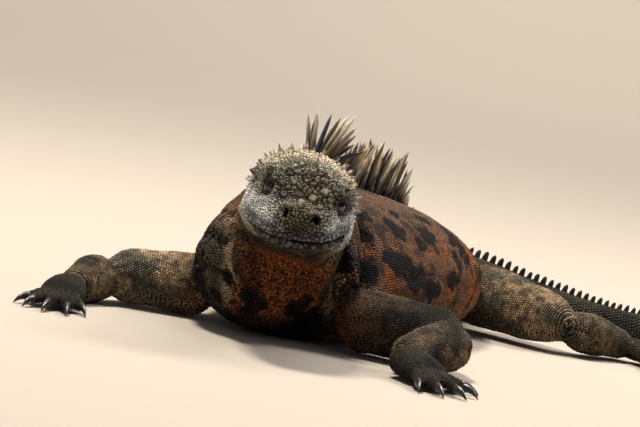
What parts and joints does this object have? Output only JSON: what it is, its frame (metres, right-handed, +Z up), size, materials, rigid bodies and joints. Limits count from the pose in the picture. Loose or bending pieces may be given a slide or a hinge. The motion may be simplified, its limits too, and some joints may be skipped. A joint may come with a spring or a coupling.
{
  "type": "marine iguana model",
  "caption": "Still life-size marine iguana resting on its belly, head raised, arms spread, spiny crest from nape to tail.",
  "frame": {"origin": "on the floor, on the flat of the breast between the shoulders", "axes": "-Y is where the trunk faces, +X is the animal's left, +Z is up"},
  "size_m": [0.5356, 0.5712, 0.122],
  "materials": {
    "head_skin": "matte",
    "body_skin": "matte",
    "limb_skin": "matte",
    "tail_skin": "matte",
    "crest_horn": "satin",
    "claw_horn": "satin",
    "eye": "gloss"
  },
  "bodies": {
    "root": {"head": "head_skin", "lower_jaw": "head_skin", "eye_left": "eye", "eye_right": "eye", "neck": "body_skin", "torso": "body_skin", "tail_1": "tail_skin", "tail_2": "tail_skin", "tail_3": "tail_skin", "tail_4": "tail_skin", "upper_arm_left": "limb_skin", "forearm_left": "limb_skin", "hand_left": "limb_skin", "upper_arm_right": "limb_skin", "forearm_right": "limb_skin", "hand_right": "limb_skin", "thigh_left": "limb_skin", "shin_left": "limb_skin", "foot_left": "limb_skin", "thigh_right": "limb_skin", "shin_right": "limb_skin", "foot_right": "limb_skin", "claw_hand_left_1": "claw_horn", "claw_hand_left_2": "claw_horn", "claw_hand_left_3": "claw_horn", "claw_hand_left_4": "claw_horn", "claw_hand_left_5": "claw_horn", "claw_hand_right_1": "claw_horn", "claw_hand_right_2": "claw_horn", "claw_hand_right_3": "claw_horn", "claw_hand_right_4": "claw_horn", "claw_hand_right_5": "claw_horn", "claw_foot_left_1": "claw_horn", "claw_foot_left_2": "claw_horn", "claw_foot_left_3": "claw_horn", "claw_foot_left_4": "claw_horn", "claw_foot_left_5": "claw_horn", "claw_foot_right_1": "claw_horn", "claw_foot_right_2": "claw_horn", "claw_foot_right_3": "claw_horn", "claw_foot_right_4": "claw_horn", "claw_foot_right_5": "claw_horn"}
  },
  "joints": []
}
